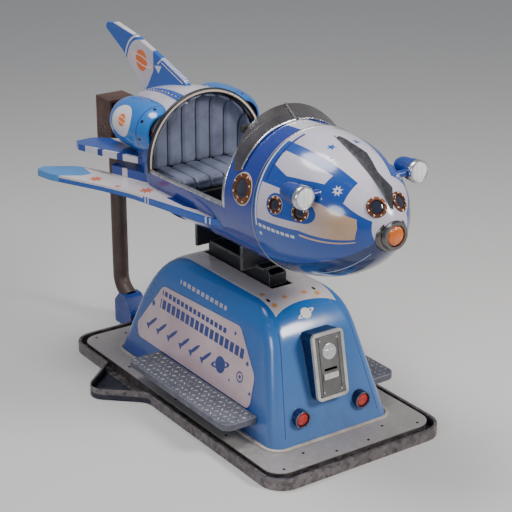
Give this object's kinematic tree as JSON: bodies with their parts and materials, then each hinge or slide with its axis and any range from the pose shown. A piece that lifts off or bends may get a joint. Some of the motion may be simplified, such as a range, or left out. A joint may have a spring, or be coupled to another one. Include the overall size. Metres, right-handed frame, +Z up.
{
  "type": "kiddie ride machine",
  "caption": "coin-operated rocket ride: a small open-cockpit spaceship rocking on a pedestal and floor base, with foot steps, coin box and speaker post",
  "frame": {"origin": "on the floor under the rock pivot, at the middle of the base", "axes": "+Z up, -Y towards the nose, +X towards the rider's left (port)"},
  "size_m": [0.987, 1.7334, 1.1809],
  "materials": {
    "zinc": "galvanised, worn and rusty at the corners",
    "deck": "worn satin",
    "dark_steel": "dark satin",
    "shaft_steel": "bright ground",
    "chrome": "polished, slightly worn",
    "blue_gel": "glossy moulded, scuffed",
    "white_gel": "glossy moulded with painted bands",
    "blue_paint": "glossy paint",
    "panel": "printed sheet",
    "black_paint": "satin black, bright worn edges",
    "grey_paint": "satin machine grey",
    "brown_paint": "satin, worn",
    "copper": "aged copper",
    "red_lens": "clear red",
    "amber_lens": "clear amber",
    "white_lens": "frosted clear",
    "dark_glass": "dark gloss",
    "smoke": "dark smoked",
    "bezel": "light grey, worn",
    "plate": "worn plate",
    "vinyl": "blue-grey padded vinyl",
    "rubber": "matte black",
    "brass": "turned",
    "black_plastic": "matte black"
  },
  "bodies": {
    "stand": {"base_pan": "zinc", "deck_plate": "deck", "deck_rivets": "dark_steel", "pedestal_trim": "bezel", "pedestal_shell": "blue_gel", "side_panels": "panel", "footsteps": "zinc", "marker_housings": "blue_paint", "marker_lenses": "red_lens", "coin_housing": "blue_paint", "coin_bezel": "bezel", "cash_box": "dark_steel", "speaker_post": "brown_paint", "post_foot": "blue_paint", "speaker_box": "brown_paint", "speaker_grille": "black_plastic", "speaker_driver": "black_plastic", "drive_frame": "grey_paint", "pivot_bearings": "grey_paint", "gear_motor": "grey_paint", "control_box": "grey_paint", "power_inlet": "black_plastic", "coin_mechanism": "dark_steel"},
    "crank": {"crank_arm": "shaft_steel", "crank_roller": "brass"},
    "ride": {"rocker_frame": "black_paint", "pivot_shaft": "shaft_steel", "saddle_plate": "black_paint", "saddle_bolts": "dark_steel", "hull_tub": "blue_gel", "hull_band": "blue_gel", "nose_shell": "white_gel", "seam_ring": "chrome", "rear_fuselage": "white_gel", "tail_fin": "white_gel", "engine_pods": "blue_gel", "wing_left": "blue_gel", "wing_right": "blue_gel", "tailplanes": "blue_gel", "seat_hoop": "bezel", "cockpit_trim": "chrome", "windscreen": "smoke", "windscreen_frame": "chrome", "seat_back": "vinyl", "seat_cushion": "vinyl", "cockpit_floor": "black_plastic", "dash_panel": "plate", "porthole_rings": "copper", "porthole_glasses": "dark_glass", "headlight_housings": "blue_paint", "headlight_lenses": "white_lens", "nose_lamp": "chrome", "nose_lamp_lens": "amber_lens", "nose_crest": "dark_steel"},
    "handlebar": {"handlebar": "shaft_steel", "hand_grips": "rubber"},
    "coin_door": {"coin_door": "plate", "door_fittings": "chrome"},
    "reject_button": {"reject_button": "white_lens"},
    "cam_lock": {"cam_lock": "chrome"}
  },
  "joints": [
    {"name": "rock", "type": "hinge", "parent": "stand", "child": "ride", "pos_m": [0, 0, 0.415], "axis": [1, 0, 0], "range_deg": [-5, 5]},
    {"name": "crank_turn", "type": "hinge", "parent": "stand", "child": "crank", "pos_m": [0, 0, 0.2], "axis": [1, 0, 0], "range_deg": [-90, 90]},
    {"name": "handlebar_turn", "type": "hinge", "parent": "ride", "child": "handlebar", "pos_m": [0, -0.138, 1.023], "axis": [0, 0.809, 0.5878], "range_deg": [-20, 20]},
    {"name": "coin_door_hinge", "type": "hinge", "parent": "stand", "child": "coin_door", "pos_m": [0.0475, -0.48208, 0.28322], "axis": [0, 0.1942, 0.981], "range_deg": [0, 100]},
    {"name": "reject_push", "type": "slide", "parent": "coin_door", "child": "reject_button", "axis": [0, 0.981, -0.1942], "range_m": [0, 0.003], "stiffness_N_per_m": 400, "springref_m": -0.001},
    {"name": "lock_turn", "type": "hinge", "parent": "stand", "child": "cam_lock", "pos_m": [0.061, -0.45661, 0.29857], "axis": [1, 0, 0], "range_deg": [0, 90]}
  ],
  "couplings": [
    {"joint": "crank_turn", "follows": "rock", "ratio": 18}
  ]
}
